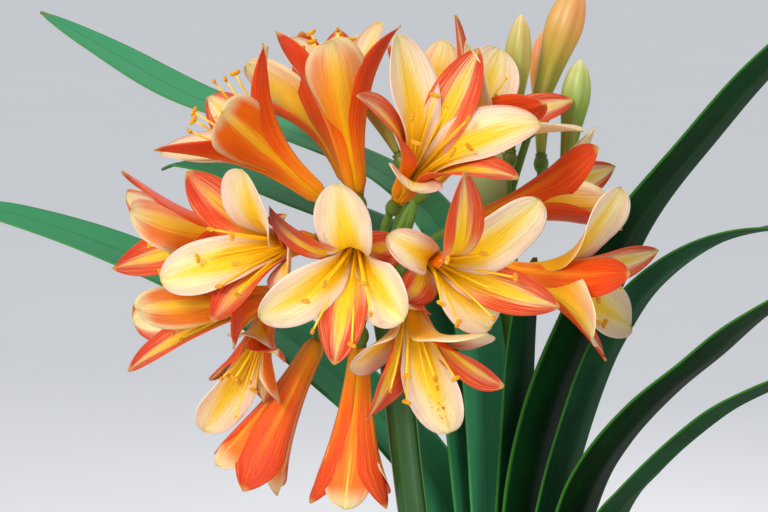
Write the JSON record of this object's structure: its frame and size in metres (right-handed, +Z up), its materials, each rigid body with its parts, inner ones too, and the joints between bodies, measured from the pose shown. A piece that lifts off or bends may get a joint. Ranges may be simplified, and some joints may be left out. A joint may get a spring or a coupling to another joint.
{
  "type": "potted clivia",
  "caption": "Flowering house plant with arching strap leaves, a round head of orange and cream trumpet flowers, and a second stem in bud, in a plain round pot.",
  "frame": {"origin": "middle of the pot's base, on the ground", "axes": "+Z up; the flower head's best side faces -Y, and the picture's right is +X"},
  "size_m": [0.4386, 0.2959, 0.5766],
  "materials": {
    "pot": "matte terracotta",
    "potting_mix": "rough bark and earth",
    "leaf": "waxy dark green with paler edges",
    "stem": "satin green",
    "petal": "soft cream, salmon and orange",
    "bud": "soft orange and green"
  },
  "bodies": {
    "root": {"bloom_a": "petal", "bloom_b": "petal", "bloom_c": "petal", "bloom_d": "petal", "bloom_e": "petal", "bloom_f": "petal", "bloom_g": "petal", "bloom_h": "petal", "bloom_i": "petal", "bloom_j": "petal", "bloom_k": "petal", "bloom_l": "petal", "bloom_m": "petal", "bloom_n": "petal", "bloom_o": "petal", "bloom_p": "petal", "bloom_q": "petal", "bud_p": "bud", "bud_q": "bud", "bud_r": "bud", "bud_s": "bud", "bud_t": "bud", "leaf_inner": "leaf", "leaf_left_1": "leaf", "leaf_left_2": "leaf", "leaf_left_3": "leaf", "leaf_left_4": "leaf", "leaf_right_1": "leaf", "leaf_right_2": "leaf", "leaf_right_3": "leaf", "leaf_right_4": "leaf", "leaf_right_5": "leaf", "pot": "pot", "potting_mix": "potting_mix", "scape_main": "stem", "scape_second": "stem"}
  },
  "joints": []
}
